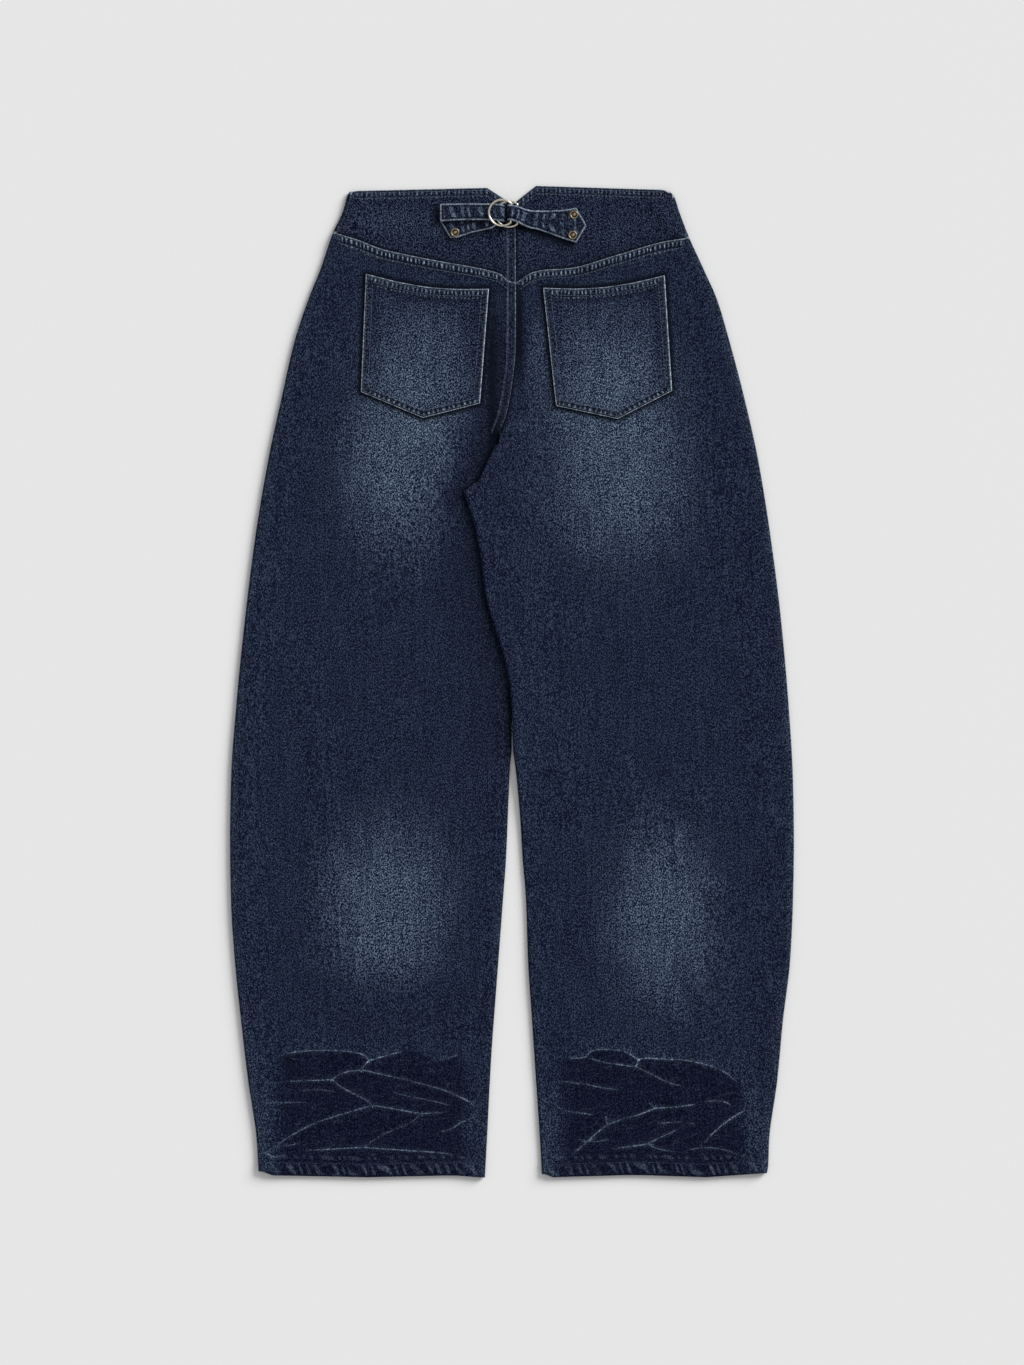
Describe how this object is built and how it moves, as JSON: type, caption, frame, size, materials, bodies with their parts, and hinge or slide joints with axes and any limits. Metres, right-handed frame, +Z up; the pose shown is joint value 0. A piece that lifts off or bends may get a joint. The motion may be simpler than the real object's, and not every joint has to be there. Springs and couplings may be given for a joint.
{
  "type": "jeans",
  "caption": "Baggy barrel-leg jeans laid flat, back upward, with a shaped yoke, patch pockets and a cinch strap with D-rings.",
  "frame": {"origin": "middle of the jeans' outline, on the surface that they lie on", "axes": "+Y from the hems towards the waist, +Z up out of the back of the jeans, +X towards the wearer's right leg"},
  "size_m": [0.5918, 1.0407, 0.0122],
  "materials": {
    "denim": "dark indigo twill, washed",
    "denim_faded": "dark indigo twill with worn edges and a soft fade",
    "ring_metal": "pale polished nickel",
    "rivet_metal": "antique brass, softly worn"
  },
  "bodies": {
    "root": {"yoke_left": "denim", "yoke_right": "denim", "back_leg_left": "denim", "back_leg_right": "denim", "front_leg_left": "denim", "front_leg_right": "denim", "waistband_left": "denim", "waistband_right": "denim", "pocket_left": "denim_faded", "pocket_right": "denim_faded", "strap_left": "denim_faded", "strap_right": "denim_faded", "d_ring_upper": "ring_metal", "d_ring_lower": "ring_metal", "rivet_left_lower": "rivet_metal", "rivet_left_upper": "rivet_metal", "rivet_right_upper": "rivet_metal", "rivet_right_lower": "rivet_metal", "button": "rivet_metal"}
  },
  "joints": []
}
